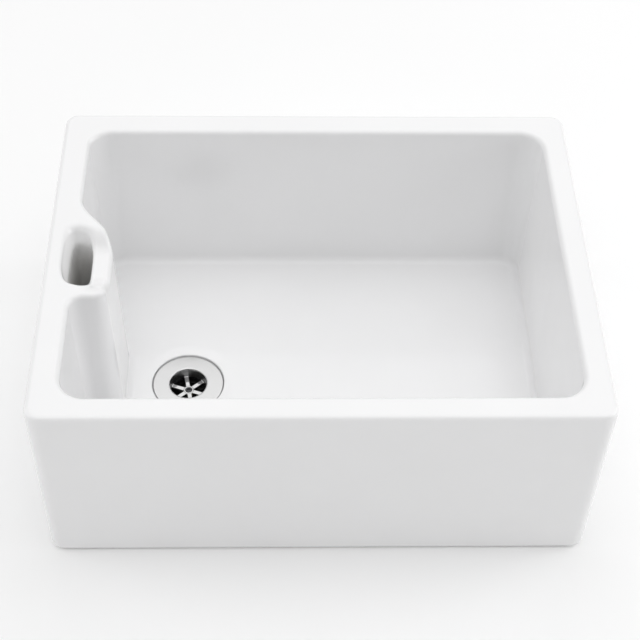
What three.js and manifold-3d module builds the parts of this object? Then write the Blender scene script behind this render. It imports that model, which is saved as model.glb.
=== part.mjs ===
// Farmhouse (apron front) kitchen sink with a weir overflow and a slotted waste.
// Millimetres, +Z up, -Y is the apron front, +X is right.
// Origin: centre of the flat underside of the fireclay body.
import * as THREE from 'three';
import { mergeVertices } from 'three/addons/utils/BufferGeometryUtils.js';
import Module from 'manifold-3d';

const wasm = await Module();
wasm.setup();

// ---------------------------------------------------------------- dimensions
// fireclay body, outside
const W = 595, D = 460, H = 240;        // overall width, depth, height
const OUT_DRAFT = 1.2;                  // each side is this much narrower at the base
const OUT_R = 16;                       // vertical outer corners
const TOP_R = 5.5;                      // glazed outer edge of the rim
const FOOT_R = 8;                       // outer edge of the base

// basin
const XL = -266, XR = 268;              // left and right walls at the rim
const YF = -201, YB = 198;              // front and back walls at the rim
const IN_R = 28;                        // vertical corners at the rim
const LIP_R = 6;                        // inner edge of the rim
const DRAFT = 4.5;                      // the walls lean in by this much, rim to floor
const LEAN = { front: 5, right: 2, back: 6.3 };  // and these three by this much more
const FLOOR_Z = 32;                     // floor of the basin
const COVE_R = 9;                       // wall to floor

// overflow column on the left wall
const BOSS_X = -228.5;                   // its face towards the basin
const BOSS_Y = -65;                     // its front flank
const BOSS_R = 14;                      // its outside corner
const BOSS_CONCAVE = 16;                // where the flank meets the wall
const SWEEP = [[-266, 87.5], [-266, 62.5], [-228.5, 45.5], [-228.5, 14.5]];  // its back flank, a long S

// overflow mouth, funnel, chamber and duct: [z, centre x, centre y, half x, half y, squareness]
const MOUTH_R = 4, MOUTH_BACK_R = 8;    // its rolled edge is softer at the back
const MOUTH_SKEW = 0.2;                 // its ends run slightly askew, further forward on the right
const CHAMBER = [
  [10, -262, -10, 12, 30, 4],
  [190, -261.4, -6.5, 12, 35, 4],
  [221, -261.4, -5.5, 12.3, 36.5, 3.6],
  [229, -262.5, -4.5, 14.6, 40.5, 3.2],
  [236, -263.3, -3.5, 16.7, 42.5, 2.8],
];
const WEIR_Z = 221;                     // top of the weir bar
const WEIR_Y = [-63, -19, 13, 42];      // rim, bar, bar, rim along Y
const DUCT_Z = [9, 19], DUCT_HALF = 18;

// waste position and the seat for it
const DRAIN = [-152.4, -13.8];
const DISH_R = 56, SEAT_R = 42.9, SEAT_Z = 26.3;
const HOLE_R = 30;
const RECESS_R = 47, RECESS_Z = 3;      // shallow pocket in the underside for the washers

// waste
const SHEET = 0.9;                      // pressed stainless sheet
const FLANGE_R = 42.2, FLANGE_Z = 29.6; // top face of the flange
const THROAT_R = 21.8, GRID_Z = 16.2;   // inside of the throat, top of the grid
const SPOKES = 6, SPOKE_W = 5.2, SPOKE_PHASE = 40, HUB_R = 5.8;
const SHOULDER_Z = RECESS_Z + 0.6;      // where the waste body steps down to its tail
const SLOT_Z = [5, 12.8], SLOT_W = 24;
const TAIL_R = 23.9, TAIL_BORE = 20.5, TAIL_Z = -52;
const GAP = 0.3;

// ------------------------------------------------------------------- helpers
const rad = (d) => d * Math.PI / 180;

function solid(geometry) {
  let g = geometry.index ? geometry.toNonIndexed() : geometry.clone();
  for (const k of Object.keys(g.attributes)) if (k !== 'position') g.deleteAttribute(k);
  g = mergeVertices(g, 1e-4);
  const p = g.attributes.position.array, ix = g.index.array, tri = [];
  for (let i = 0; i < ix.length; i += 3) {
    if (ix[i] !== ix[i + 1] && ix[i + 1] !== ix[i + 2] && ix[i + 2] !== ix[i]) tri.push(ix[i], ix[i + 1], ix[i + 2]);
  }
  return new wasm.Manifold(new wasm.Mesh({ numProp: 3, vertProperties: new Float32Array(p), triVerts: new Uint32Array(tri) }));
}

function geometryOf(manifold) {
  const m = manifold.getMesh();
  const g = new THREE.BufferGeometry();
  g.setAttribute('position', new THREE.BufferAttribute(new Float32Array(m.vertProperties), 3));
  g.setIndex(new THREE.BufferAttribute(new Uint32Array(m.triVerts), 1));
  g.computeVertexNormals();
  return g;
}

// a closed body through a stack of outlines, lowest first; each ring is [[x, y], ...]
// anticlockwise seen from above, and all rings have the same number of points
function stack(rings, zs) {
  const n = rings[0].length, pos = [], idx = [];
  rings.forEach((r, k) => r.forEach(([x, y]) => pos.push(x, y, zs[k])));
  for (let k = 0; k + 1 < rings.length; k++) {
    for (let i = 0; i < n; i++) {
      const a = k * n + i, b = k * n + (i + 1) % n, c = a + n, d = b + n;
      idx.push(a, b, d, a, d, c);
    }
  }
  const cap = (k, up) => {
    const pts = rings[k].map(([x, y]) => new THREE.Vector2(x, y));
    for (const [a, b, c] of THREE.ShapeUtils.triangulateShape(pts, [])) {
      const o = k * n;
      if (up) idx.push(o + a, o + b, o + c); else idx.push(o + a, o + c, o + b);
    }
  };
  cap(0, false);
  cap(rings.length - 1, true);
  const g = new THREE.BufferGeometry();
  g.setAttribute('position', new THREE.Float32BufferAttribute(pos, 3));
  g.setIndex(idx);
  return g;
}

const arc = (cx, cy, r, a0, a1, n) => {
  const out = [];
  for (let i = 0; i <= n; i++) {
    const a = rad(a0 + (a1 - a0) * i / n);
    out.push([cx + r * Math.cos(a), cy + r * Math.sin(a)]);
  }
  return out;
};

function roundedRect(x0, x1, y0, y1, r, n) {
  return [
    ...arc(x1 - r, y0 + r, r, -90, 0, n), ...arc(x1 - r, y1 - r, r, 0, 90, n),
    ...arc(x0 + r, y1 - r, r, 90, 180, n), ...arc(x0 + r, y0 + r, r, 180, 270, n),
  ];
}

function squircle(cx, cy, a, b, e, n, skew = 0) {
  const out = [];
  for (let i = 0; i < n; i++) {
    const t = 2 * Math.PI * i / n, c = Math.cos(t), s = Math.sin(t);
    const dx = a * Math.sign(c) * Math.abs(c) ** (2 / e);
    out.push([cx + dx, cy - skew * dx + b * Math.sign(s) * Math.abs(s) ** (2 / e)]);
  }
  return out;
}

// lathe about the Z axis; profile is [[r, z], ...] anticlockwise in the (r, z) half plane,
// closed on itself or starting and ending on the axis
function lathe(profile, seg = 48, closed = true) {
  const pts = profile.map(([r, z]) => new THREE.Vector2(r, z));
  if (closed) pts.push(pts[0].clone());
  return new THREE.LatheGeometry(pts, seg).rotateX(Math.PI / 2);
}

const extrude = (points, depth) => new THREE.ExtrudeGeometry(
  new THREE.Shape(points.map(([x, y]) => new THREE.Vector2(x, y))), { depth, bevelEnabled: false });

const cylinder = (r, z0, z1, seg = 48) =>
  new THREE.CylinderGeometry(r, r, z1 - z0, seg).rotateX(Math.PI / 2).translate(0, 0, (z0 + z1) / 2);

// ------------------------------------------------------------ basin outline
// the basin in plan at an inset from the rim line: front, right, back, then down the
// left wall past the overflow column
function basinOutline(inset, lean = 0) {
  const i = inset, r = Math.max(IN_R - i, 1);
  const x0 = XL + i, x1 = XR - i - LEAN.right * lean, y0 = YF + i + LEAN.front * lean, y1 = YB - i - LEAN.back * lean;
  const out = [
    ...arc(x1 - r, y0 + r, r, -90, 0, 7), ...arc(x1 - r, y1 - r, r, 0, 90, 7), ...arc(x0 + r, y1 - r, r, 90, 180, 7),
  ];
  const [p0, p1, p2, p3] = SWEEP.map(([x, y]) => new THREE.Vector3(x, y, 0));
  const curve = new THREE.CubicBezierCurve3(p0, p1, p2, p3);
  for (let k = 0; k <= 12; k++) {
    const p = curve.getPoint(k / 12), t = curve.getTangent(k / 12);
    out.push([p.x - t.y * i, p.y + t.x * i]);   // the basin lies to the left of travel
  }
  const rb = BOSS_R + i, rc = Math.max(BOSS_CONCAVE - i, 0.8);
  const fx = BOSS_X + i, fy = BOSS_Y - i;
  out.push(...arc(fx - rb, fy + rb, rb, 0, -90, 7));
  out.push(...arc(x0 + rc, fy - rc, rc, 90, 180, 5));
  out.push(...arc(x0 + r, y0 + r, r, 180, 270, 7));
  return out;
}

// ---------------------------------------------------------------- sink body
function sinkBody() {
  const rings = [], zs = [];
  for (let k = 0; k <= 4; k++) {
    const a = rad(90 * k / 4), o = FOOT_R * (1 - Math.sin(a));
    const d = OUT_DRAFT;
    rings.push(roundedRect(-W / 2 + o + d, W / 2 - o - d, -D / 2 + o + d, D / 2 - o - d, OUT_R - o, 6)); zs.push(FOOT_R * (1 - Math.cos(a)));
  }
  for (let k = 0; k <= 4; k++) {
    const a = rad(90 * k / 4), o = TOP_R * (1 - Math.cos(a));
    rings.push(roundedRect(-W / 2 + o, W / 2 - o, -D / 2 + o, D / 2 - o, OUT_R - o, 6)); zs.push(H - TOP_R * (1 - Math.sin(a)));
  }
  let body = solid(stack(rings, zs));

  // basin
  const br = [], bz = [];
  for (let k = 5; k >= 0; k--) {
    const a = rad(90 * k / 5);
    br.push(basinOutline(DRAFT + COVE_R * (1 - Math.cos(a)), 1)); bz.push(FLOOR_Z + COVE_R * (1 - Math.sin(a)));
  }
  for (let k = 0; k <= 4; k++) {
    const a = rad(90 * k / 4);
    br.push(basinOutline(-LIP_R * (1 - Math.cos(a)))); bz.push(H - LIP_R * (1 - Math.sin(a)) + (k === 4 ? 0.02 : 0));
  }
  br.push(basinOutline(-LIP_R)); bz.push(H + 20);
  body = body.subtract(solid(stack(br, bz)));

  // mouth, funnel and chamber of the overflow
  const cr = CHAMBER.map(([, cx, cy, a, b, e]) => squircle(cx, cy, a, b, e, 28, MOUTH_SKEW)), cz = CHAMBER.map((c) => c[0]);
  const [, tx, ty, ta, tb, te] = CHAMBER[CHAMBER.length - 1];
  const roll = (r, z) => r - Math.sqrt(Math.max(r * r - Math.max(z - H + r, 0) ** 2, 0));  // offset of an edge of radius r
  cr.pop(); cz.pop();
  for (let k = 0; k <= 3; k++) {
    const z = H - MOUTH_R * (1 - Math.sin(rad(90 * k / 3))), o = roll(MOUTH_R, z), ob = roll(MOUTH_BACK_R, z);
    cr.push(squircle(tx, ty + (ob - o) / 2, ta + o, tb + (ob + o) / 2, te, 28, MOUTH_SKEW)); cz.push(z + (k === 3 ? 0.02 : 0));
  }
  cr.push(cr[cr.length - 1]); cz.push(H + 20);
  body = body.subtract(solid(stack(cr, cz)));

  // the weir: a saddle across the bar between mouth and basin, in (y, z) outlines along X
  // that run out to nothing in the rim beside the mouth
  const [w0, w1, w2, w3] = WEIR_Y, saddle = (depth) => {
    const out = [], top = H + 0.02;
    for (let k = 0; k <= 7; k++) out.push([w0 + (w1 - w0) * k / 7, top - depth * (1 - Math.cos(Math.PI * k / 7)) / 2]);
    for (let k = 0; k <= 7; k++) out.push([w2 + (w3 - w2) * k / 7, top - depth * (1 + Math.cos(Math.PI * k / 7)) / 2]);
    return [...out, [w3, H + 25], [w0, H + 25]];
  };
  const wx = [-270, -265, -260, -255, -250, -246, -222], wd = [0, 0.04, 0.17, 0.42, 0.75, 1, 1];
  const weir = stack(wd.map((d) => saddle(d * (H - WEIR_Z))), wx).applyMatrix4(new THREE.Matrix4().makeBasis(
    new THREE.Vector3(0, 1, 0), new THREE.Vector3(0, 0, 1), new THREE.Vector3(1, 0, 0)));
  body = body.subtract(solid(weir));

  // duct from the foot of the chamber to the waste hole
  const [dz0, dz1] = DUCT_Z, dr = (dz1 - dz0) / 2;
  const section = [
    ...arc(DUCT_HALF - dr, (dz0 + dz1) / 2, dr, -90, 90, 6), ...arc(-DUCT_HALF + dr, (dz0 + dz1) / 2, dr, 90, 270, 6)];
  const duct = extrude(section, DRAIN[0] + 262).applyMatrix4(new THREE.Matrix4().makeBasis(
    new THREE.Vector3(0, 1, 0), new THREE.Vector3(0, 0, 1), new THREE.Vector3(1, 0, 0)).setPosition(-262, DRAIN[1], 0));
  body = body.subtract(solid(duct));

  // dished seat, waste hole and the pocket underneath
  const seat = lathe([
    [0, SEAT_Z], [SEAT_R, SEAT_Z], [SEAT_R, FLOOR_Z - 1.3], [SEAT_R + 0.7, FLOOR_Z - 0.8], [DISH_R, FLOOR_Z + 0.02],
    [DISH_R, FLOOR_Z + 6], [0, FLOOR_Z + 6]], 48, false).translate(DRAIN[0], DRAIN[1], 0);
  const hole = cylinder(HOLE_R, -5, FLOOR_Z + 5, 40).translate(DRAIN[0], DRAIN[1], 0);
  const pocket = cylinder(RECESS_R, -5, RECESS_Z, 40).translate(DRAIN[0], DRAIN[1], 0);
  body = body.subtract(solid(seat)).subtract(solid(hole)).subtract(solid(pocket));
  return geometryOf(body);
}

// -------------------------------------------------------------------- waste
// everything below is modelled about the waste's own axis and moved to DRAIN
function wasteFlange() {
  const t = SHEET, z = FLANGE_Z, r = THROAT_R, g = GRID_Z;
  const dish = lathe([
    // underside, hub to lip
    [3.4, g - 2.2], [r - 3, g - 2.2], [r + 0.4, g - 1.4], [r + t, g + 1],
    [r + t, z - 3.2], [r + t + 0.4, z - 1.6], [r + t + 1.4, z - t - 0.1], [r + t + 2.4, z - t],
    [FLANGE_R - 9, z - t], [FLANGE_R - 2.2, z - t], [FLANGE_R - 1.3, z - t - 0.15], [FLANGE_R - t, z - t - 0.6], [FLANGE_R - t, z - 2.4],
    // over the lip and back along the top
    [FLANGE_R, z - 2.4], [FLANGE_R, z - 1.1], [FLANGE_R - 0.2, z - 0.5], [FLANGE_R - 0.65, z - 0.12], [FLANGE_R - 1.3, z], [FLANGE_R - 9, z],
    [r + t + 2, z], [r + t + 0.3, z - 0.35], [r + 0.25, z - 1.2], [r, z - 2.6],
    [r, g + 2.6], [r - 0.8, g + 0.9], [r - 2.6, g], [HUB_R, g], [HUB_R - 0.4, g + 0.5], [4.25, g + 0.5], [3.4, g - 1],
  ], 56);
  let m = solid(dish);
  // six openings between the spokes
  const r0 = HUB_R + 0.3, r1 = r - 0.3, h = SPOKE_W / 2, c = 1.4;
  for (let k = 0; k < SPOKES; k++) {
    const a0 = 360 / SPOKES * k + SPOKE_PHASE, a1 = a0 + 360 / SPOKES;
    const edge = (rr, a, s) => {          // a point on a spoke's side, s = +1 or -1
      const u = Math.sqrt(rr * rr - h * h);
      return [u * Math.cos(rad(a)) - s * h * Math.sin(rad(a)), u * Math.sin(rad(a)) + s * h * Math.cos(rad(a))];
    };
    const inner = (rr) => Math.asin(h / rr) * 180 / Math.PI;
    const pts = [edge(r0 + c, a0, 1), edge(r1 - c, a0, 1)];
    const o0 = a0 + inner(r1) + 4, o1 = a1 - inner(r1) - 4;
    pts.push(...arc(0, 0, r1, o0, o1, 6));
    pts.push(edge(r1 - c, a1, -1), edge(r0 + c, a1, -1));
    pts.push(...arc(0, 0, r0, (a0 + a1) / 2 + 4, (a0 + a1) / 2 - 4, 1));
    m = m.subtract(solid(extrude(pts, 8).translate(0, 0, g - 4)));
  }
  return geometryOf(m);
}

function centreScrew() {
  const g = GRID_Z;
  let m = solid(lathe([
    [0, g - 23], [2.4, g - 23], [3, g - 22.2], [3, g - 0.95], [3.75, g + 0.1], [3.75, g + 0.35], [3.5, g + 0.6], [0, g + 0.6]], 32, false));
  m = m.subtract(solid(new THREE.CylinderGeometry(2.6, 2.6, 5, 6).rotateX(Math.PI / 2).translate(0, 0, g + 1.4)));
  return geometryOf(m);
}

const ring = (r0, r1, z0, z1, seg = 48, b = 0.4) => geometryOf(solid(lathe([
  [r0, z0], [r1 - b, z0], [r1, z0 + b], [r1, z1 - b], [r1 - b, z1], [r0, z1]], seg)));

function wasteBody() {
  const ledge = GRID_Z - 2.5, top = SEAT_Z - 2.3, s = SHOULDER_Z;
  let m = solid(lathe([
    [TAIL_BORE, TAIL_Z], [TAIL_R - 1.2, TAIL_Z], [TAIL_R, TAIL_Z + 1.2], [TAIL_R, s],
    [27, s + 0.8], [27, top], [23, top], [23, ledge], [TAIL_BORE + 0.8, ledge], [TAIL_BORE + 0.8, s - 2], [TAIL_BORE, s - 4]], 56));
  // hub that holds the threaded insert, on three ribs
  const h1 = ledge - 3.4, h0 = h1 - 13.6;
  for (let k = 0; k < 3; k++) {
    m = m.add(solid(new THREE.BoxGeometry(16.5, 2.8, 11).translate(14.2, 0, h0 + 6).rotateZ(rad(30 + 120 * k))));
  }
  m = m.add(solid(lathe([[3.4, h0], [7, h0], [7, h1], [4.6, h1], [4.6, h0 + 1.3], [3.4, h0 + 1.3]], 32)));
  // overflow slots
  const [z0, z1] = SLOT_Z, w = SLOT_W / 2 - 3;
  for (let k = 0; k < 3; k++) {
    const slot = extrude([...arc(w, z1 - 3, 3, 0, 90, 3), ...arc(-w, z1 - 3, 3, 90, 180, 3),
      ...arc(-w, z0 + 3, 3, 180, 270, 3), ...arc(w, z0 + 3, 3, 270, 360, 3)], 14)
      .applyMatrix4(new THREE.Matrix4().makeBasis(new THREE.Vector3(0, 1, 0), new THREE.Vector3(0, 0, 1), new THREE.Vector3(1, 0, 0)))
      .translate(17.5, 0, 0).rotateZ(rad(90 + 120 * k));
    m = m.subtract(solid(slot));
  }
  return geometryOf(m);
}

function threadInsert() {
  const knurl = [], h0 = GRID_Z - 2.5 - 3.4 - 13.6;
  for (let k = 0; k < 12; k++) {
    const a = rad(30 * k), r = k % 2 ? 4.3 : 4.0;
    knurl.push([r * Math.cos(a), r * Math.sin(a)]);
  }
  const m = solid(extrude(knurl, 11.2).translate(0, 0, h0 + 1.6)).subtract(solid(cylinder(3.3, h0 - 5, h0 + 20, 24)));
  return geometryOf(m);
}

function backnut() {
  const pts = [];
  for (let k = 0; k < 8; k++) {          // eight flats with a low grip lug on each corner
    const a = 45 * k;
    pts.push(...arc(0, 0, 36.5, a - 7, a + 7, 2), ...arc(0, 0, 33.2, a + 12, a + 33, 2));
  }
  const z1 = RECESS_Z - 3 * GAP - 5.4, z0 = z1 - 11.6;
  let m = solid(extrude(pts, z1 - z0 - 2.4).translate(0, 0, z0));
  m = m.add(solid(cylinder(39.5, z1 - 2.6, z1, 48)));
  m = m.subtract(solid(cylinder(TAIL_R + GAP, z0 - 2, z1 + 2, 56)));
  return geometryOf(m);
}

// ------------------------------------------------------------------- object
const glaze = new THREE.MeshStandardMaterial({ color: 0xf3f4f5, roughness: 0.08, metalness: 0 });
const steel = new THREE.MeshStandardMaterial({ color: 0xc8cacc, roughness: 0.2, metalness: 1 });
const screwSteel = new THREE.MeshStandardMaterial({ color: 0x3c3d40, roughness: 0.35, metalness: 1 });
const rubber = new THREE.MeshStandardMaterial({ color: 0x1d1d1e, roughness: 0.8, metalness: 0 });
const plastic = new THREE.MeshStandardMaterial({ color: 0xe9e9e4, roughness: 0.45, metalness: 0 });
const darkPlastic = new THREE.MeshStandardMaterial({ color: 0x1b1c1d, roughness: 0.45, metalness: 0 });
const poly = new THREE.MeshStandardMaterial({ color: 0xdedfda, roughness: 0.4, metalness: 0 });
const brass = new THREE.MeshStandardMaterial({ color: 0xb08d43, roughness: 0.35, metalness: 1 });

const sink = new THREE.Group();
const waste = new THREE.Group();
waste.position.set(DRAIN[0], DRAIN[1], 0);
sink.add(waste);

function piece(group, name, geometry, material) {
  const mesh = new THREE.Mesh(geometry, material);
  mesh.name = name;
  group.add(mesh);
}

piece(sink, 'sink_body', sinkBody(), glaze);
piece(waste, 'waste_flange', wasteFlange(), steel);
piece(waste, 'centre_screw', centreScrew(), screwSteel);
piece(waste, 'flange_seal', ring(31, 37.2, SEAT_Z + GAP, FLANGE_Z - SHEET - 0.3 - GAP, 48, 0.3), rubber);
piece(waste, 'waste_body', wasteBody(), darkPlastic);
piece(waste, 'thread_insert', threadInsert(), brass);
piece(waste, 'base_seal', ring(TAIL_R + GAP, 44, RECESS_Z - GAP - 4, RECESS_Z - GAP, 48, 0.8), rubber);
piece(waste, 'slip_washer', ring(TAIL_R + GAP, 41, RECESS_Z - 2 * GAP - 5.4, RECESS_Z - 2 * GAP - 4, 48, 0.3), poly);
piece(waste, 'backnut', backnut(), plastic);

export default sink;
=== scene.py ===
"""Farmhouse apron front sink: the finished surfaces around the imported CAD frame.

Every piece is meshed here from a smooth implicit surface (a signed distance in millimetres), so
that the glaze, the coves and the rolled edges are continuous, then scaled to metres.
"""
import math

import bpy
import numpy as np
from mathutils import Matrix, Vector


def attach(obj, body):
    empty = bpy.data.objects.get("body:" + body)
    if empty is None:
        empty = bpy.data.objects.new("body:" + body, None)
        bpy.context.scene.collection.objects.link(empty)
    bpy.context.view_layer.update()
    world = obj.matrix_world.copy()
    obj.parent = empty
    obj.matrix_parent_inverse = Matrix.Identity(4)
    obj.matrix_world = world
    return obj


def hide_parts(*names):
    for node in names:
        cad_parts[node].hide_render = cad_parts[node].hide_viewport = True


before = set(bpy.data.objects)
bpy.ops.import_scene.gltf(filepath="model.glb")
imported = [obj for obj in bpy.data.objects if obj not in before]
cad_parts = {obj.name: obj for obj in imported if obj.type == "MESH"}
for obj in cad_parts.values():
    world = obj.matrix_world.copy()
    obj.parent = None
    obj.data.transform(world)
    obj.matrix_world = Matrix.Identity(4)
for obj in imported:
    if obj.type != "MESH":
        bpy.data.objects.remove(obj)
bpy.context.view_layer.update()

# ------------------------------------------------------------------ dimensions (mm)
W, D, H = 595.0, 460.0, 240.0
OUT_DRAFT, OUT_R, TOP_R, FOOT_R = 1.2, 16.0, 5.5, 8.0
XL, XR, YF, YB = -266.0, 268.0, -201.0, 198.0
IN_R, LIP_R, DRAFT, FLOOR_Z, COVE_R = 28.0, 6.0, 4.5, 32.0, 9.0
LEAN_FRONT, LEAN_RIGHT, LEAN_BACK = 5.0, 2.0, 6.3
BOSS_X, BOSS_Y, BOSS_R, BOSS_CONCAVE = -228.5, -65.0, 14.0, 16.0
SWEEP = ((-266.0, 87.5), (-266.0, 62.5), (-228.5, 45.5), (-228.5, 14.5))
MOUTH_R, MOUTH_BACK_R, MOUTH_SKEW = 4.0, 8.0, 0.2
CHAMBER = np.array([
    [10, -262, -10, 12, 30, 4],
    [190, -261.4, -6.5, 12, 35, 4],
    [221, -261.4, -5.5, 12.3, 36.5, 3.6],
    [229, -262.5, -4.5, 14.6, 40.5, 3.2],
    [236, -263.3, -3.5, 16.7, 42.5, 2.8]], dtype=float)
WEIR_Z, WEIR_Y = 221.0, (-63.0, -19.0, 13.0, 42.0)
WEIR_X = (-270.0, -265.0, -260.0, -255.0, -250.0, -246.0)
WEIR_D = (0.0, 0.04, 0.17, 0.42, 0.75, 1.0)
DUCT_Z, DUCT_HALF = (9.0, 19.0), 18.0
DRAIN = (-152.4, -13.8)
DISH_R, SEAT_R, SEAT_Z, HOLE_R, RECESS_R, RECESS_Z = 56.0, 42.9, 26.3, 30.0, 47.0, 3.0
SHEET, FLANGE_R, FLANGE_Z, THROAT_R, GRID_Z = 0.9, 42.2, 29.6, 21.8, 16.2
SPOKES, SPOKE_W, SPOKE_PHASE, HUB_R = 6, 5.2, 40.0, 5.8
SHOULDER_Z, SLOT_Z, SLOT_W = 3.6, (5.0, 12.8), 24.0
TAIL_R, TAIL_BORE, TAIL_Z, GAP = 23.9, 20.5, -52.0, 0.3


# ------------------------------------------------------------------ implicit shapes
# every function is negative inside the shape
def both(a, b, r):
    """Where a and b overlap, its convex edge rounded to radius r."""
    u, v = a + r, b + r
    return np.minimum(np.maximum(u, v), 0) + np.hypot(np.maximum(u, 0), np.maximum(v, 0)) - r


def either(a, b, r):
    """a and b joined, with a fillet of radius r."""
    return -both(-a, -b, r)


def rect(x, y, x0, x1, y0, y1, r):
    qx = np.abs(x - (x0 + x1) / 2) - (x1 - x0) / 2 + r
    qy = np.abs(y - (y0 + y1) / 2) - (y1 - y0) / 2 + r
    return np.hypot(np.maximum(qx, 0), np.maximum(qy, 0)) + np.minimum(np.maximum(qx, qy), 0) - r


def table(xs, ys, lo, hi, blur, step=0.1):
    """Smoothed lookup of ys over xs."""
    t = np.arange(lo, hi + step / 2, step)
    pad = int(4 * blur / step)
    long_t = np.arange(-pad, len(t) + pad) * step + lo
    v = np.interp(long_t, xs, ys)
    k = np.exp(-0.5 * (np.arange(-pad, pad + 1) * step / blur) ** 2)
    return t, np.convolve(v, k / k.sum(), mode="valid")


def look(tab, x):
    return np.interp(x, tab[0], tab[1])


# the column's back flank: x of its surface for each y
_t = np.linspace(0, 1, 400)
_b = [(1 - _t) ** 3, 3 * (1 - _t) ** 2 * _t, 3 * (1 - _t) * _t ** 2, _t ** 3]
_sx = sum(w * p[0] for w, p in zip(_b, SWEEP))
_sy = sum(w * p[1] for w, p in zip(_b, SWEEP))
FLANK = table(np.r_[-300, _sy[::-1], 300], np.r_[BOSS_X, _sx[::-1], XL], -250, 250, 1.5)
FLANK_SLOPE = (FLANK[0], np.gradient(FLANK[1], FLANK[0]))
WEIR_TAB = table(np.r_[-300, WEIR_X, -200], np.r_[0, WEIR_D, 1], -300, -200, 1.2)
ROWS = [table(CHAMBER[:, 0], CHAMBER[:, k], 0, 245, 2.5) for k in range(1, 6)]


def plan(x, y, t):
    """The basin in plan, negative over the basin, from the rim at t = 0 to the floor at t = 1."""
    wall = rect(x, y, XL, XR - LEAN_RIGHT * t, YF + LEAN_FRONT * t, YB - LEAN_BACK * t, IN_R)
    slope = look(FLANK_SLOPE, y)
    face = (look(FLANK, y) - x) / np.sqrt(1 + slope ** 2)
    open_side = either(face, y - BOSS_Y, BOSS_R)
    return both(wall, open_side, np.where(y < -20, BOSS_CONCAVE, 0.001))


def weir_top(x, y):
    w0, w1, w2, w3 = WEIR_Y
    s = np.clip((y - w0) / (w1 - w0), 0, 1) * np.clip((w3 - y) / (w3 - w2), 0, 1)
    s = 0.5 - 0.5 * np.cos(np.pi * s)
    return H - (H - WEIR_Z) * s * look(WEIR_TAB, x) * (x < -205)


def sink(x, y, z):
    d = OUT_DRAFT * (1 - np.clip((z - FOOT_R) / (H - TOP_R - FOOT_R), 0, 1))
    side = rect(x, y, -W / 2, W / 2, -D / 2, D / 2, OUT_R) + d
    e = 0.5
    gx = (weir_top(x + e, y) - weir_top(x - e, y)) / (2 * e)
    gy = (weir_top(x, y + e) - weir_top(x, y - e)) / (2 * e)
    top = (z - weir_top(x, y)) / np.sqrt(1 + gx ** 2 + gy ** 2)
    body = both(both(side, top, TOP_R), -z, FOOT_R)
    # basin
    rr = np.hypot(x - DRAIN[0], y - DRAIN[1])
    t = np.clip((DISH_R + 1.5 - rr) / (DISH_R + 1.5 - SEAT_R), 0, 1)
    floor = FLOOR_Z - 0.95 * (t * t * (1.6 - 0.6 * t))
    t = np.clip((H - LIP_R - z) / (H - LIP_R - FLOOR_Z - COVE_R), 0, 1.1)
    basin = both(plan(x, y, t) + DRAFT * t, floor - z, COVE_R)
    body = both(body, -basin, LIP_R)
    # mouth, funnel and chamber
    cx, cy, a, b, n = (look(r, z) for r in ROWS)
    u, v = np.maximum(np.abs(x - cx) / a, 1e-3), np.maximum(np.abs(y - cy + MOUTH_SKEW * (x - cx)) / b, 1e-3)
    s = (u ** n + v ** n) ** (1 / n)
    g = s ** (1 - n) * np.hypot(u ** (n - 1) / a, v ** (n - 1) / b)
    well = both((s - 1) / np.maximum(g, 1e-3), 10 - z, 4.0)
    t = np.clip((y - 10) / 28, 0, 1)
    body = both(body, -well, MOUTH_R + (MOUTH_BACK_R - MOUTH_R) * t * t * (3 - 2 * t))
    # duct to the waste
    zc, hz = (DUCT_Z[0] + DUCT_Z[1]) / 2, (DUCT_Z[1] - DUCT_Z[0]) / 2
    duct = rect(y - DRAIN[1], z - zc, -DUCT_HALF, DUCT_HALF, -hz, hz, hz - 0.01)
    duct = np.maximum(duct, np.maximum(-262 - x, x - DRAIN[0]))
    body = np.maximum(body, -duct)
    # seat, hole and the pocket underneath
    body = both(body, -both(rr - SEAT_R, SEAT_Z - z, 0.8), 1.1)
    body = both(body, HOLE_R - rr, 0.8)
    return both(body, -np.maximum(rr - RECESS_R, z - RECESS_Z), 0.8)


# ------------------------------------------------------------------ mesher
def spans(*parts):
    """Grid lines from (start, step), (start, step), ..., end, in that order."""
    out = []
    for (a, step), nxt in zip(parts[:-1], parts[1:]):
        b = nxt[0] if isinstance(nxt, tuple) else nxt
        n = max(1, int(round((b - a) / step)))
        out.append(np.linspace(a, b, n + 1)[:-1])
    return np.concatenate(out + [np.array([parts[-1]], dtype=float)])


def graded(lines):
    """Softens jumps in spacing, so that neighbouring cells have like sizes."""
    u = np.asarray(lines, dtype=float)
    for _ in range(3):
        u[1:-1] = 0.5 * u[1:-1] + 0.25 * (u[:-2] + u[2:])
    return u


def cartesian(u, v, w):
    return u, v, w


def polar(u, v, w):
    return u * np.cos(v), u * np.sin(v), w


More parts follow.
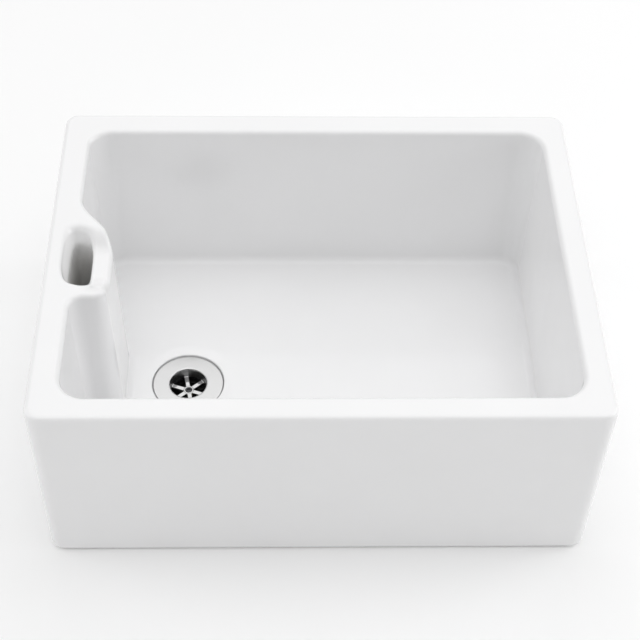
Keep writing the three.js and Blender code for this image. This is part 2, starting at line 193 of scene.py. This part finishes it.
def skin(f, us, vs, ws, place=cartesian, wrap=False, steps=6, limit=1.0):
    """Closed quad mesh of f = 0 over a tensor grid, every corner moved onto the exact surface.
    Returns corners, their exact normals, and faces."""
    U, V, Wg = np.meshgrid(us.astype(np.float32), vs.astype(np.float32), ws.astype(np.float32), indexing="ij")
    X, Y, Z = place(U, V, Wg)
    F = f(X, Y, Z).astype(np.float32)
    del U, V, Wg, X, Y, Z
    if wrap:      # vs runs round a full turn, its last line left out
        F = np.concatenate([F, F[:, :1]], axis=1)
        vs = np.r_[vs, vs[0] + 2 * np.pi]
    nu, nv, nw = F.shape
    S = F < 0
    count = sum(S[a:nu - 1 + a, b:nv - 1 + b, c:nw - 1 + c].astype(np.int8)
                for a in (0, 1) for b in (0, 1) for c in (0, 1))
    ci, cj, ck = np.nonzero((count > 0) & (count < 8))
    index = np.full((nu - 1, nv - 1, nw - 1), -1, dtype=np.int64)
    index[ci, cj, ck] = np.arange(len(ci))
    corner = {(a, b, c): F[ci + a, cj + b, ck + c].astype(float) for a in (0, 1) for b in (0, 1) for c in (0, 1)}
    lo = (us[ci], vs[cj], ws[ck])
    size = (us[ci + 1] - us[ci], vs[cj + 1] - vs[cj], ws[ck + 1] - ws[ck])
    acc = [np.zeros(len(ci)) for _ in range(3)]
    hits = np.zeros(len(ci))
    for axis in range(3):
        for p in (0, 1):
            for q in (0, 1):
                c0 = [p, q]; c0.insert(axis, 0)
                c1 = [p, q]; c1.insert(axis, 1)
                f0, f1 = corner[tuple(c0)], corner[tuple(c1)]
                m = (f0 < 0) != (f1 < 0)
                t = np.where(m, f0 / np.where(m, f0 - f1, 1), 0)
                for k in range(3):
                    acc[k] += np.where(m, t if k == axis else c0[k], 0)
                hits += m
    P = [lo[k] + size[k] * acc[k] / hits for k in range(3)]
    x, y, z = place(*P)
    h = 0.04

    def slope(x, y, z):
        return ((f(x + h, y, z) - f(x - h, y, z)) / (2 * h), (f(x, y + h, z) - f(x, y - h, z)) / (2 * h),
                (f(x, y, z + h) - f(x, y, z - h)) / (2 * h))

    for _ in range(steps):
        v0, (gx, gy, gz) = f(x, y, z), slope(x, y, z)
        k = -v0 / np.maximum(gx * gx + gy * gy + gz * gz, 0.05)
        k = np.clip(k, -limit, limit)
        x, y, z = x + k * gx, y + k * gy, z + k * gz
    gx, gy, gz = slope(x, y, z)
    n = np.stack([gx, gy, gz], 1)
    n /= np.maximum(np.linalg.norm(n, axis=1, keepdims=True), 1e-9)

    faces = []
    rows = nv - 1

    def quads(si, sj, sk, inside, a, b, c, d):
        ok = np.stack([a, b, c, d], 1)
        ok[inside] = ok[inside][:, ::-1]
        faces.append(ok)

    # edges along u
    m = S[:-1] != S[1:]
    i, j, k = np.nonzero(m[:, (0 if wrap else 1):nv - 1, 1:nw - 1])
    j, k = j + (0 if wrap else 1), k + 1
    jm = (j - 1) % rows
    quads(i, j, k, ~S[i, j, k], index[i, jm, k - 1], index[i, j, k - 1], index[i, j, k], index[i, jm, k])
    # edges along v
    m = S[:, :-1] != S[:, 1:]
    i, j, k = np.nonzero(m[1:nu - 1, :, 1:nw - 1])
    i, k = i + 1, k + 1
    quads(i, j, k, S[i, j, k], index[i - 1, j, k - 1], index[i, j, k - 1], index[i, j, k], index[i - 1, j, k])
    # edges along w
    m = S[:, :, :-1] != S[:, :, 1:]
    i, j, k = np.nonzero(m[1:nu - 1, (0 if wrap else 1):nv - 1, :])
    i, j = i + 1, j + (0 if wrap else 1)
    jm = (j - 1) % rows
    quads(i, j, k, ~S[i, j, k], index[i - 1, jm, k], index[i, jm, k], index[i, j, k], index[i - 1, j, k])
    return np.stack([x, y, z], 1), n, np.concatenate(faces)


def make(name, corners, normals, faces, material, at=(0.0, 0.0)):
    """A Blender object from millimetre corners, with its exact normals."""
    co = (corners + np.array([at[0], at[1], 0.0])) / 1000.0
    a, b, c = co[faces[:, 0]], co[faces[:, 1]], co[faces[:, 2]]
    facing = np.einsum("ij,ij->i", np.cross(b - a, c - a), normals[faces[:, 0]])
    if np.median(facing) < 0:
        faces = faces[:, ::-1]
    me = bpy.data.meshes.new(name)
    me.vertices.add(len(co))
    me.vertices.foreach_set("co", co.astype(np.float32).ravel())
    me.loops.add(faces.size)
    me.loops.foreach_set("vertex_index", faces.astype(np.int32).ravel())
    me.polygons.add(len(faces))
    me.polygons.foreach_set("loop_start", np.arange(0, faces.size, faces.shape[1], dtype=np.int32))
    me.update(calc_edges=True)
    me.polygons.foreach_set("use_smooth", np.ones(len(faces), dtype=bool))
    me.normals_split_custom_set_from_vertices(normals.astype(np.float32))
    me.materials.append(material)
    ob = bpy.data.objects.new(name, me)
    bpy.context.scene.collection.objects.link(ob)
    return ob


# ------------------------------------------------------------------ materials
class Nodes:
    """Short hand for building a node tree."""

    def __init__(self, name):
        self.mat = bpy.data.materials.new(name)
        self.mat.use_nodes = True
        self.tree = self.mat.node_tree
        self.bsdf = self.tree.nodes["Principled BSDF"]
        self.coord = self.add("ShaderNodeTexCoord").outputs["Object"]

    def add(self, kind, **settings):
        node = self.tree.nodes.new(kind)
        for key, value in settings.items():
            setattr(node, key, value)
        return node

    def link(self, a, b):
        self.tree.links.new(a, b)

    def uniform(self, **values):
        for key, value in values.items():
            self.bsdf.inputs[key.replace("_", " ")].default_value = value

    def noise(self, scale, detail=2.0, rough=0.5, stretch=None, distort=0.0):
        node = self.add("ShaderNodeTexNoise")
        node.inputs["Scale"].default_value = scale
        node.inputs["Detail"].default_value = detail
        node.inputs["Roughness"].default_value = rough
        node.inputs["Distortion"].default_value = distort
        if stretch is None:
            self.link(self.coord, node.inputs["Vector"])
        else:
            m = self.add("ShaderNodeMapping")
            m.inputs["Scale"].default_value = stretch
            self.link(self.coord, m.inputs["Vector"])
            self.link(m.outputs["Vector"], node.inputs["Vector"])
        return node.outputs["Fac"]

    def ramp(self, value, lo, hi, to_lo, to_hi, smooth=False):
        node = self.add("ShaderNodeMapRange")
        node.interpolation_type = "SMOOTHSTEP" if smooth else "LINEAR"
        for key, v in (("From Min", lo), ("From Max", hi), ("To Min", to_lo), ("To Max", to_hi)):
            node.inputs[key].default_value = v
        self.link(value, node.inputs["Value"])
        return node.outputs["Result"]

    def math(self, op, a, b=None):
        node = self.add("ShaderNodeMath", operation=op)
        for socket, v in zip(node.inputs, (a, b)):
            if v is None:
                continue
            if isinstance(v, (int, float)):
                socket.default_value = v
            else:
                self.link(v, socket)
        return node.outputs[0]

    def blend(self, fac, a, b):
        node = self.add("ShaderNodeMix", data_type="RGBA")
        self.link(fac, node.inputs[0])
        for socket, v in ((node.inputs[6], a), (node.inputs[7], b)):
            if isinstance(v, tuple):
                socket.default_value = (*v, 1)
            else:
                self.link(v, socket)
        return node.outputs[2]

    def mix(self, fac, a, b):
        node = self.add("ShaderNodeMix", data_type="FLOAT")
        self.link(fac, node.inputs[0])
        for socket, v in ((node.inputs[2], a), (node.inputs[3], b)):
            if isinstance(v, (int, float)):
                socket.default_value = v
            else:
                self.link(v, socket)
        return node.outputs[0]

    def bump(self, height, distance, strength=1.0, after=None):
        node = self.add("ShaderNodeBump")
        node.inputs["Strength"].default_value = strength
        node.inputs["Distance"].default_value = distance
        self.link(height, node.inputs["Height"])
        if after is not None:
            self.link(after, node.inputs["Normal"])
        return node.outputs["Normal"]

    def axis(self, k):
        node = self.add("ShaderNodeSeparateXYZ")
        self.link(self.coord, node.inputs[0])
        return node.outputs[k]

    def radius(self):
        """Distance from the waste's own axis."""
        node = self.add("ShaderNodeSeparateXYZ")
        self.link(self.coord, node.inputs[0])
        dx = self.math("SUBTRACT", node.outputs[0], DRAIN[0] / 1000)
        dy = self.math("SUBTRACT", node.outputs[1], DRAIN[1] / 1000)
        return self.math("SQRT", self.math("ADD", self.math("MULTIPLY", dx, dx), self.math("MULTIPLY", dy, dy)))


def fireclay():
    n = Nodes("fireclay_glaze")
    n.uniform(IOR=1.52, Specular_IOR_Level=0.5)
    z = n.axis(2)
    # the underside is left unglazed, with an uneven edge where the glaze was wiped off
    edge = n.math("ADD", z, n.ramp(n.noise(70, 3), 0.3, 0.7, -0.0004, 0.0004))
    glazed = n.ramp(edge, 0.0005, 0.0010, 0.0, 1.0, True)
    tone = n.ramp(n.noise(9, 3), 0.3, 0.7, 0.0, 1.0)
    white = n.blend(tone, (0.892, 0.892, 0.896), (0.906, 0.906, 0.910))
    grain = n.ramp(n.noise(900, 4, 0.7), 0.35, 0.65, 0.0, 1.0)
    clay = n.blend(grain, (0.56, 0.52, 0.44), (0.70, 0.66, 0.57))
    # painted shade: inside the overflow below the mouth the white is swapped for a darker grey, and the glaze is made
    # more matte
    x, y = n.axis(0), n.axis(1)
    inside = n.math("MULTIPLY", n.ramp(x, -0.2475, -0.2460, 1.0, 0.0), n.ramp(x, -0.2790, -0.2770, 0.0, 1.0))
    inside = n.math("MULTIPLY", inside, n.ramp(n.math("ABSOLUTE", n.math("ADD", y, 0.006)), 0.044, 0.047, 1.0, 0.0))
    inside = n.math("MULTIPLY", inside, n.ramp(z, 0.190, 0.236, 1.0, 0.0, True))
    # the grey that stands for the shade inside the overflow chamber
    painted_chamber_shade = n.blend(grain, (0.63, 0.625, 0.61), (0.72, 0.715, 0.70))
    n.link(n.blend(glazed, clay, n.blend(inside, white, painted_chamber_shade)), n.bsdf.inputs["Base Color"])
    gloss = n.ramp(n.noise(26, 4), 0.3, 0.7, 0.050, 0.090)
    n.link(n.mix(glazed, 0.85, n.mix(inside, gloss, 0.55)), n.bsdf.inputs["Roughness"])
    wave = n.bump(n.noise(15, 1.5), 0.00030)
    peel = n.bump(n.math("MULTIPLY", glazed, n.noise(170, 2)), 0.000006, after=wave)
    rough = n.bump(n.math("MULTIPLY", n.math("SUBTRACT", 1.0, glazed), n.noise(1400, 3)), 0.00025, after=peel)
    n.link(rough, n.bsdf.inputs["Normal"])
    return n.mat


def metal(name, colour, lo, hi, ring_scale, depth, throat_shade_and_finish=None):
    """Stainless with the fine rings that turning and polishing leave. The last argument, when given, is the (colour,
    roughness)
    of the drawn wall inside the throat: the roughness is its duller finish, the darker colour is painted shade in the
    throat."""
    n = Nodes(name)
    n.uniform(Metallic=1.0)
    r = n.radius()
    fine = n.add("ShaderNodeTexNoise", noise_dimensions="1D")
    fine.inputs["Scale"].default_value = ring_scale
    fine.inputs["Detail"].default_value = 3
    n.link(r, fine.inputs["W"])
    smear = n.noise(60, 3)
    tint = n.blend(smear, tuple(c * 0.97 for c in colour), tuple(min(1, c * 1.02) for c in colour))
    both_ = n.math("MULTIPLY", n.math("ADD", fine.outputs["Fac"], smear), 0.5)
    rough = n.ramp(both_, 0.3, 0.7, lo, hi)
    if throat_shade_and_finish:
        # painted shade: the throat wall below the flange gets a darker colour, along with its rougher drawn finish
        low = n.ramp(n.axis(2), (FLANGE_Z - 2.4) / 1000, (FLANGE_Z - 1.4) / 1000, 1.0, 0.0, True)
        wall = n.math("MULTIPLY", low, n.ramp(r, (THROAT_R - 1.3) / 1000, (THROAT_R - 0.5) / 1000, 0.0, 1.0, True))
        drawn = n.noise(1.0, 3, 0.6, stretch=(420, 420, 60))
        tint = n.blend(wall, tint, n.blend(drawn, tuple(c * 0.6 for c in throat_shade_and_finish[0]), tuple(c * 1.25 for c in throat_shade_and_finish[0])))
        rough = n.mix(wall, rough, throat_shade_and_finish[1])
    n.link(tint, n.bsdf.inputs["Base Color"])
    n.link(rough, n.bsdf.inputs["Roughness"])
    n.link(n.bump(fine.outputs["Fac"], depth, after=n.bump(n.noise(45, 1), 0.00006)), n.bsdf.inputs["Normal"])
    return n.mat


def moulded(name, a, b, rough, grain=900, depth=0.00001, sheen=0.0):
    """Moulded plastic or rubber: a faint mottle, uneven gloss and a fine skin."""
    n = Nodes(name)
    if sheen:
        n.uniform(Sheen_Weight=sheen)
    n.link(n.blend(n.noise(140, 3), a, b), n.bsdf.inputs["Base Color"])
    n.link(n.ramp(n.noise(260, 3), 0.3, 0.7, rough[0], rough[1]), n.bsdf.inputs["Roughness"])
    n.link(n.bump(n.noise(grain, 3), depth), n.bsdf.inputs["Normal"])
    return n.mat


glaze = fireclay()
polished = metal("polished_stainless", (0.60, 0.60, 0.60), 0.09, 0.17, 2600, 0.0000006, ((0.36, 0.36, 0.36), 0.36))
dark_steel = metal("darkened_stainless", (0.085, 0.085, 0.09), 0.26, 0.40, 1800, 0.000002)
brass = metal("turned_brass", (0.70, 0.52, 0.22), 0.25, 0.38, 1500, 0.000003)
rubber = moulded("black_rubber", (0.018, 0.018, 0.019), (0.030, 0.030, 0.031), (0.62, 0.80), 1300, 0.00004, 0.1)
polypropylene = moulded("white_polypropylene", (0.74, 0.74, 0.71), (0.79, 0.79, 0.77), (0.34, 0.46))
black_plastic = moulded("black_polypropylene", (0.010, 0.010, 0.011), (0.018, 0.018, 0.019), (0.36, 0.48))
polythene = moulded("natural_polythene", (0.66, 0.67, 0.63), (0.72, 0.73, 0.70), (0.38, 0.50), 700, 0.00002)


# ------------------------------------------------------------------ the fireclay body
def body_piece():
    us = graded(spans((-300, 1.6), (-281, 1.3), (-224, 1.5), (-208, 1.9), (-198, 1.1), (-190, 2.4), (-121, 1.1), (-106, 1.9),
                      (-92, 6), (-84, 9), (232, 3), (244, 1.5), (284, 1.4), 300))
    vs = graded(spans((-232, 1.4), (-178, 1.9), (-166, 5), (-84, 1.5), (58, 2.1), (92, 5), (158, 2.2), (172, 1.4), 232))
    ws = graded(spans((-2, 1.3), (10, 1.6), (24, 0.75), (42, 1.4), (50, 3), (60, 5), (186, 3), (202, 1.3), (242, 1.0), 243))
    ob = make("fireclay_body", *skin(sink, us, vs, ws), glaze)
    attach(ob, "root")
    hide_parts("sink_body")
    return ob


# ------------------------------------------------------------------ the waste, about its own axis
def turns(n):
    return np.linspace(0, 2 * np.pi, n + 1)[:-1]


def smooth_line(points, rounds=3):
    """Cuts the corners of an open line of [r, z, half thickness]."""
    p = np.array(points, dtype=float)
    for _ in range(rounds):
        q = np.empty((2 * len(p) - 2, 3))
        q[0::2] = 0.75 * p[:-1] + 0.25 * p[1:]
        q[1::2] = 0.25 * p[:-1] + 0.75 * p[1:]
        p = np.vstack([p[:1], q, p[-1:]])
    return p


def section_table(mid, r0, r1, z0, z1, step=0.05):
    """Distance to a bent sheet in section, sampled over (r, z)."""
    R, Z = np.meshgrid(np.arange(r0, r1 + step, step), np.arange(z0, z1 + step, step), indexing="ij")
    best = np.full(R.shape, 1e9)
    for (ra, za, ha), (rb, zb, hb) in zip(mid[:-1], mid[1:]):
        dr, dz = rb - ra, zb - za
        t = np.clip(((R - ra) * dr + (Z - za) * dz) / max(dr * dr + dz * dz, 1e-12), 0, 1)
        best = np.minimum(best, np.hypot(R - ra - t * dr, Z - za - t * dz) - (ha + t * (hb - ha)))

    def at(r, z):
        i = np.clip((r - r0) / step, 0, R.shape[0] - 1.001)
        j = np.clip((z - z0) / step, 0, R.shape[1] - 1.001)
        a, b = i.astype(int), j.astype(int)
        s, t = i - a, j - b
        return ((1 - s) * (1 - t) * best[a, b] + s * (1 - t) * best[a + 1, b]
                + (1 - s) * t * best[a, b + 1] + s * t * best[a + 1, b + 1])
    return at


def flange_shape():
    f, g, r = FLANGE_Z - 0.45, GRID_Z, THROAT_R + 0.45
    at = section_table(smooth_line([
        [4.5, g - 1.1, 1.1], [5.2, g - 1.1, 1.1], [r - 2.8, g - 1.1, 1.1], [r - 1.2, g - 0.9, 0.9], [r - 0.1, g + 0.5, 0.6], [r, g + 2.4, 0.45],
        [r, f - 2.2, 0.45], [r + 0.05, f - 0.5, 0.45], [r + 0.75, f, 0.45], [r + 2.6, f, 0.45], [r + 8, f, 0.45], [FLANGE_R - 4, f, 0.45],
        [FLANGE_R - 1.5, f, 0.45], [FLANGE_R - 0.7, f - 0.15, 0.45], [FLANGE_R - 0.47, f - 0.9, 0.45], [FLANGE_R - 0.45, f - 1.9, 0.42]]),
        2.5, 43.5, 12.5, 31.0)

    def shape(x, y, z):
        rr, th = np.hypot(x, y), np.arctan2(y, x)
        sheet = at(rr, z)
        collar = both(both(rr - HUB_R, z - g - 0.55, 0.35), g - 0.6 - z, 0.1)      # raised hub
        cone = (4.08 + 0.567 * (z - g - 0.2) - rr) * -0.87                         # countersink
        m = either(sheet, collar, 0.5)
        m = both(m, -cone, 0.12)
        step = 2 * np.pi / SPOKES
        local = np.mod(th - math.radians(SPOKE_PHASE) + step / 2, step) - step / 2
        off = rr * np.sin(np.abs(local))
        gap = both(both(SPOKE_W / 2 - off, rr - THROAT_R + 0.3, 1.2), HUB_R + 0.5 - rr, 1.0)
        return both(m, -gap, 0.65)
    return shape


def flange_piece():
    rs = graded(spans((2.9, 0.3), (8, 0.7), (19, 0.32), (26.5, 1.2), (36.5, 0.35), 42.6))
    zs = graded(spans((13.2, 0.28), (17.6, 0.6), (25.6, 0.3), 30.3))
    ob = make("slotted_flange", *skin(flange_shape(), rs, turns(300), zs, polar, True), polished, DRAIN)
    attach(ob, "root")
    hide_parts("waste_flange")


def helix(x, y, z, pitch):
    return 0.5 - 0.5 * np.cos(2 * np.pi * z / pitch - np.arctan2(y, x))


def screw_shape(x, y, z):
    g = GRID_Z
    r = np.hypot(x, y)
    run = np.clip((g - 4 - z) / 1.0, 0, 1) * np.clip((z - g + 22.4) / 0.8, 0, 1)
    shaft = both(r - 3.0 + 0.42 * run * helix(x, y, z, 1.0), np.maximum(g - 23 - z, z - g + 0.5), 0.5)
    head = both((r - 3.0 - (z - g + 0.95) * 0.714) / 1.23, r - 3.75, 0.15)
    head = both(head, np.maximum(z - g - 0.6, g - 1.8 - z), 0.25)
    hexagon = np.maximum(np.maximum(np.abs(x), np.abs(0.5 * x + 0.8660254 * y)), np.abs(0.5 * x - 0.8660254 * y)) - 2.2
    return both(np.minimum(shaft, head), -np.maximum(hexagon, g - 1.0 - z), 0.2)


def waste_body_shape(x, y, z):
    r, th = np.hypot(x, y), np.arctan2(y, x)
    ledge, top, s = GRID_Z - 2.5, SEAT_Z - 2.3, SHOULDER_Z
    run = np.clip((z - TAIL_Z - 0.6) / 1.6, 0, 1) * np.clip((s - 3.2 - z) / 2.0, 0, 1)
    tail = both(r - TAIL_R + 1.35 * run * helix(x, y, z, 2.309), np.maximum(TAIL_Z - z, z - s - 2), 0.5)
    collar = both(both(r - 27, s + 0.1 - z, 0.8), z - top, 0.5)
    bore = np.minimum(np.minimum(r - TAIL_BORE, both(r - TAIL_BORE - 0.8, s - 4 - z, 0.3)), both(r - 23, ledge - z, 0.3))
    m = both(either(tail, collar, 0.4), -bore, 0.4)
    h1 = ledge - 3.4
    h0 = h1 - 13.6
    hub = both(r - 7, np.abs(z - (h0 + h1) / 2) - 6.8, 0.6)
    hub = both(hub, -np.minimum(r - 3.4, both(r - 4.6, h0 + 1.3 - z, 0.05)), 0.25)
    third = 2 * np.pi / 3
    a = np.mod(th - math.radians(30) + third / 2, third) - third / 2
    u, v = r * np.cos(a), r * np.sin(a)
    rib = both(both(np.abs(v) - 1.4, np.maximum(5.6 - u, u - 22.2), 0.2), np.abs(z - h0 - 6) - 5.5, 0.5)
    m = either(m, rib, 0.7)
    m = either(m, hub, 0.6)
    a = np.mod(th - math.radians(90) + third / 2, third) - third / 2
    u, v = r * np.cos(a), r * np.sin(a)
    window = np.maximum(rect(v, z, -SLOT_W / 2, SLOT_W / 2, SLOT_Z[0], SLOT_Z[1], 3.0), 17.5 - u)
    return both(m, -window, 0.5)


def waste_body_piece():
    rs = graded(spans((2.8, 0.5), (8, 1.5), (19.6, 0.36), 27.6))
    zs = graded(spans((-52.8, 0.36), (14.6, 0.7), (23, 0.36), 24.8))
    ob = make("waste_body_moulding", *skin(waste_body_shape, rs, turns(168), zs, polar, True), black_plastic, DRAIN)
    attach(ob, "root")
    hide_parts("waste_body")


def nut_shape(x, y, z):
    z1 = RECESS_Z - 3 * GAP - 5.4
    z0 = z1 - 11.6
    r, th = np.hypot(x, y), np.arctan2(y, x)
    step = math.pi / 4
    a = np.abs(np.mod(th + step / 2, step) - step / 2)
    lug = 1 - np.clip((a - 0.115) / 0.10, 0, 1)
    lug = lug * lug * (3 - 2 * lug)
    grip = both(r - 33.2 - 3.3 * lug, np.maximum(z0 - z, z - z1 + 1.0), 0.9)
    brim = both(r - 39.5, np.maximum(z1 - 2.6 - z, z - z1), 0.6)
    m = either(grip, brim, 0.8)
    run = np.clip((z - z0 - 0.8) / 1.2, 0, 1) * np.clip((z1 - 0.8 - z) / 1.2, 0, 1)
    bore = r - TAIL_R - GAP + 1.2 * run * helix(x, y, z, 2.309)
    m = both(m, -bore, 0.45)
    # moulded recess round the mouth, between the grip lugs and the thread
    return both(m, -both(both(r - 30.6, 27.2 - r, 0.5), z - z0 - 2.2, 0.5), 0.4)


def ring_piece(name, node, material, shape, r0, r1, z0, z1, step=0.3, n=120):
    rs = graded(spans((r0 - 0.6, step), (r0 + 1.8, (r1 - r0) / 16), (r1 - 1.8, step), r1 + 0.6))
    zs = spans((z0 - 0.5, min(step, (z1 - z0) / 8)), z1 + 0.5)
    ob = make(name, *skin(shape, rs, turns(n), zs, polar, True), material, DRAIN)
    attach(ob, "root")
    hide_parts(node)


def washer(r0, r1, z0, z1, edge, groove=()):
    def shape(x, y, z):
        r = np.hypot(x, y)
        m = both(np.maximum(r - r1, r0 - r), np.abs(z - (z0 + z1) / 2) - (z1 - z0) / 2, edge)
        for g in groove:       # shallow moulded rings
            m = both(m, 0.55 - np.hypot(r - g, z - z0 + 0.1), 0.1)
        return m
    return shape


def insert_shape(x, y, z):
    h0 = GRID_Z - 2.5 - 3.4 - 13.6
    r, th = np.hypot(x, y), np.arctan2(y, x)
    knurl = 0.14 * np.cos(24 * th)
    return both(np.maximum(r - 4.14 - knurl, 3.28 - r), np.abs(z - h0 - 7.2) - 5.6, 0.2)


def waste_pieces():
    flange_piece()
    us = np.linspace(-4.5, 4.5, 41)
    ob = make("hexagon_socket_screw", *skin(screw_shape, us, us, graded(spans((GRID_Z - 23.5, 0.25), (GRID_Z - 2, 0.18), GRID_Z + 1.0))), dark_steel, DRAIN)
    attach(ob, "root")
    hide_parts("centre_screw")
    waste_body_piece()
    seal_z1 = FLANGE_Z - SHEET - 0.3 - GAP
    ring_piece("flange_seal_ring", "flange_seal", rubber, washer(31, 37.2, SEAT_Z + GAP, seal_z1, 0.4), 31, 37.2, SEAT_Z + GAP, seal_z1)
    b0, b1 = RECESS_Z - GAP - 4, RECESS_Z - GAP
    ring_piece("base_seal_ring", "base_seal", rubber, washer(TAIL_R + GAP, 44, b0, b1, 0.7, (40.5, 38.0)), TAIL_R + GAP, 44, b0, b1)
    s0, s1 = RECESS_Z - 2 * GAP - 5.4, RECESS_Z - 2 * GAP - 4
    ring_piece("slip_washer_ring", "slip_washer", polythene, washer(TAIL_R + GAP, 41, s0, s1, 0.3), TAIL_R + GAP, 41, s0, s1)
    n1 = RECESS_Z - 3 * GAP - 5.4
    rs = graded(spans((22.4, 0.36), (26, 0.7), (31.6, 0.42), 40.1))
    ob = make("eight_lug_backnut", *skin(nut_shape, rs, turns(240), graded(spans((n1 - 12.1, 0.4), n1 + 0.5)), polar, True), polypropylene, DRAIN)
    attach(ob, "root")
    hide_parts("backnut")
    h0 = GRID_Z - 2.5 - 3.4 - 13.6
    ring_piece("knurled_insert", "thread_insert", brass, insert_shape, 3.3, 4.3, h0 + 1.6, h0 + 12.8, 0.16, 144)


body_piece()
waste_pieces()


# ------------------------------------------------------------------ camera at the photograph's viewpoint
def camera():
    yaw, pitch, roll = math.radians(2.355), math.radians(48.468), math.radians(-1.723)
    cy, sy, cp, sp, cr, sr = math.cos(yaw), math.sin(yaw), math.cos(pitch), math.sin(pitch), math.cos(roll), math.sin(roll)
    forward = Vector((sy * cp, cy * cp, -sp))
    right = Vector((cy, -sy, 0))
    down = forward.cross(right)
    r2, d2 = right * cr + down * sr, -right * sr + down * cr
    data = bpy.data.cameras.new("camera")
    data.sensor_width = 36.0
    data.lens = 1434.242 / 640 * 36
    data.clip_start, data.clip_end = 0.05, 60
    ob = bpy.data.objects.new("camera", data)
    bpy.context.scene.collection.objects.link(ob)
    m = Matrix.Identity(4)
    for k, v in enumerate((r2, -d2, -forward)):
        m.col[k][:3] = v
    m.col[3][:3] = Vector((-41.595, -1096.095, 1366.003)) / 1000
    ob.matrix_world = m
    bpy.context.scene.camera = ob


camera()


# ------------------------------------------------------------------ studio
SKY = (0.430, 1.446)


def studio():
    # floor: a wide pale sheet with an opening under the sink for the waste, hidden by the sink
    n = Nodes("pale_floor")
    n.uniform(Roughness=0.9, Specular_IOR_Level=0.2)
    n.link(n.blend(n.noise(3, 2), (0.90, 0.90, 0.90), (0.92, 0.92, 0.92)), n.bsdf.inputs["Base Color"])
    n.uniform(Emission_Color=(1, 1, 1, 1), Emission_Strength=0.035)
    z, big, x1, y1 = -0.0003, 12.0, W / 2000 - 0.016, D / 2000 - 0.016
    co = [(-big, -big, z), (big, -big, z), (big, big, z), (-big, big, z), (-x1, -y1, z), (x1, -y1, z), (x1, y1, z), (-x1, y1, z)]
    me = bpy.data.meshes.new("floor")
    me.from_pydata(co, [], [(0, 1, 5, 4), (1, 2, 6, 5), (2, 3, 7, 6), (3, 0, 4, 7)])
    me.materials.append(n.mat)
    floor = bpy.data.objects.new("floor", me)
    bpy.context.scene.collection.objects.link(floor)
    # a dark stopper up the tail, where the trap would be, so that no light comes up the waste
    n = Nodes("dark_stopper")
    n.uniform(Roughness=0.9)
    n.link(n.blend(n.noise(40, 2), (0.01, 0.01, 0.01), (0.02, 0.02, 0.02)), n.bsdf.inputs["Base Color"])
    me = bpy.data.meshes.new("stopper")
    ring = [((DRAIN[0] + 20.3 * math.cos(a)) / 1000, (DRAIN[1] + 20.3 * math.sin(a)) / 1000, -0.030) for a in turns(48)]
    me.from_pydata(ring, [], [tuple(range(48))])
    me.materials.append(n.mat)
    stopper = bpy.data.objects.new("stopper", me)
    bpy.context.scene.collection.objects.link(stopper)

    world = bpy.data.worlds.new("studio")
    world.use_nodes = True
    bg = world.node_tree.nodes["Background"]
    bg.inputs["Color"].default_value = (1.0, 1.0, 1.0, 1)
    # a plain white tent, brighter overhead
    tree = world.node_tree
    coord = tree.nodes.new("ShaderNodeTexCoord")
    parts = tree.nodes.new("ShaderNodeSeparateXYZ")
    dome = tree.nodes.new("ShaderNodeMapRange")
    dome.interpolation_type = "SMOOTHSTEP"
    for key, v in (("From Min", 0.70), ("From Max", 0.98), ("To Min", SKY[0]), ("To Max", SKY[1])):
        dome.inputs[key].default_value = v
    tree.links.new(coord.outputs["Generated"], parts.inputs[0])
    tree.links.new(parts.outputs[2], dome.inputs["Value"])
    tree.links.new(dome.outputs["Result"], bg.inputs["Strength"])
    bpy.context.scene.world = world

    def softbox(name, at, aim, size, watts):
        data = bpy.data.lights.new(name, "AREA")
        data.shape = "RECTANGLE"
        data.size, data.size_y = size
        data.energy = watts
        ob = bpy.data.objects.new(name, data)
        bpy.context.scene.collection.objects.link(ob)
        ob.location = at
        ob.rotation_mode = "QUATERNION"
        ob.rotation_quaternion = (Vector(aim) - Vector(at)).to_track_quat("-Z", "Y")

    low = (0, 0, 0.1)
    softbox("high_back", (0.0, 1.9, 2.1), low, (2.0, 1.2), 5.0)
    softbox("high_left", (-1.9, 0.0, 2.1), low, (2.0, 1.2), 3.8)
    softbox("high_right", (1.9, 0.4, 2.1), low, (2.0, 1.2), 6.8)
    softbox("low_left", (-2.4, 0.0, 1.1), low, (2.0, 1.0), 9.2)
    softbox("low_right", (2.4, 0.0, 1.1), low, (2.0, 1.0), 14.0)
    softbox("low_back", (0.0, 2.4, 1.1), low, (2.4, 1.0), 1.8)
    softbox("near_front", (0.0, -0.75, 1.55), (0, 0, 0.2), (1.4, 0.7), 1.4)


studio()
bpy.context.scene.view_settings.view_transform = "Standard"
